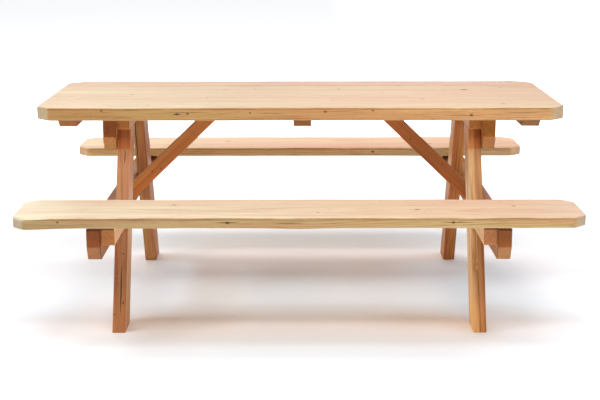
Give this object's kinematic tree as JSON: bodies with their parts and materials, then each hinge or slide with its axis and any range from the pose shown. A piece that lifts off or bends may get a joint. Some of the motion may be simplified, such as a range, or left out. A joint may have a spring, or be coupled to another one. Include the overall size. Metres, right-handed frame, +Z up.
{
  "type": "picnic table",
  "caption": "Heavy timber picnic table with a boarded top and a plank bench on each side, on two splayed A-frames joined by diagonal braces.",
  "frame": {"origin": "on the ground, at the middle of the bounding box in plan", "axes": "+X along the table, +Y across it towards the back bench, +Z up"},
  "size_m": [1.82, 1.5, 0.745],
  "materials": {
    "top_timber": "planed pale softwood with pink and yellow heartwood bands, eased edges",
    "bench_timber": "planed pale softwood plank, rounded rims",
    "frame_timber": "sawn reddish-brown softwood",
    "zinc_screws": "hot-dip zinc, dull",
    "zinc_washers": "hot-dip zinc, dull",
    "dark_screws": "dark coated screw heads, dull"
  },
  "bodies": {
    "root": {"batten_left": "frame_timber", "batten_middle": "frame_timber", "batten_right": "frame_timber", "batten_screws": "zinc_screws", "bearer_coach_screws": "zinc_screws", "bearer_washers": "zinc_washers", "bench_back": "bench_timber", "bench_front": "bench_timber", "bench_screws": "zinc_screws", "block_inner_screws": "dark_screws", "brace_foot_coach_screws": "zinc_screws", "brace_foot_washers": "zinc_washers", "brace_left": "frame_timber", "brace_right": "frame_timber", "brace_top_screws": "zinc_screws", "leg_back_left": "frame_timber", "leg_back_right": "frame_timber", "leg_front_left": "frame_timber", "leg_front_right": "frame_timber", "leg_top_coach_screws": "zinc_screws", "leg_top_washers": "zinc_washers", "lower_crossbeam_left": "frame_timber", "lower_crossbeam_right": "frame_timber", "rail_left": "frame_timber", "rail_right": "frame_timber", "rail_side_screws": "zinc_screws", "rail_top_screws": "zinc_screws", "seat_block_back_left": "frame_timber", "seat_block_back_right": "frame_timber", "seat_block_coach_screws": "zinc_screws", "seat_block_front_left": "frame_timber", "seat_block_front_right": "frame_timber", "seat_block_washers": "zinc_washers", "top_board_1": "top_timber", "top_board_2": "top_timber", "top_board_3": "top_timber", "top_board_4": "top_timber", "top_board_5": "top_timber", "upper_crossbeam_left": "frame_timber", "upper_crossbeam_right": "frame_timber"}
  },
  "joints": []
}
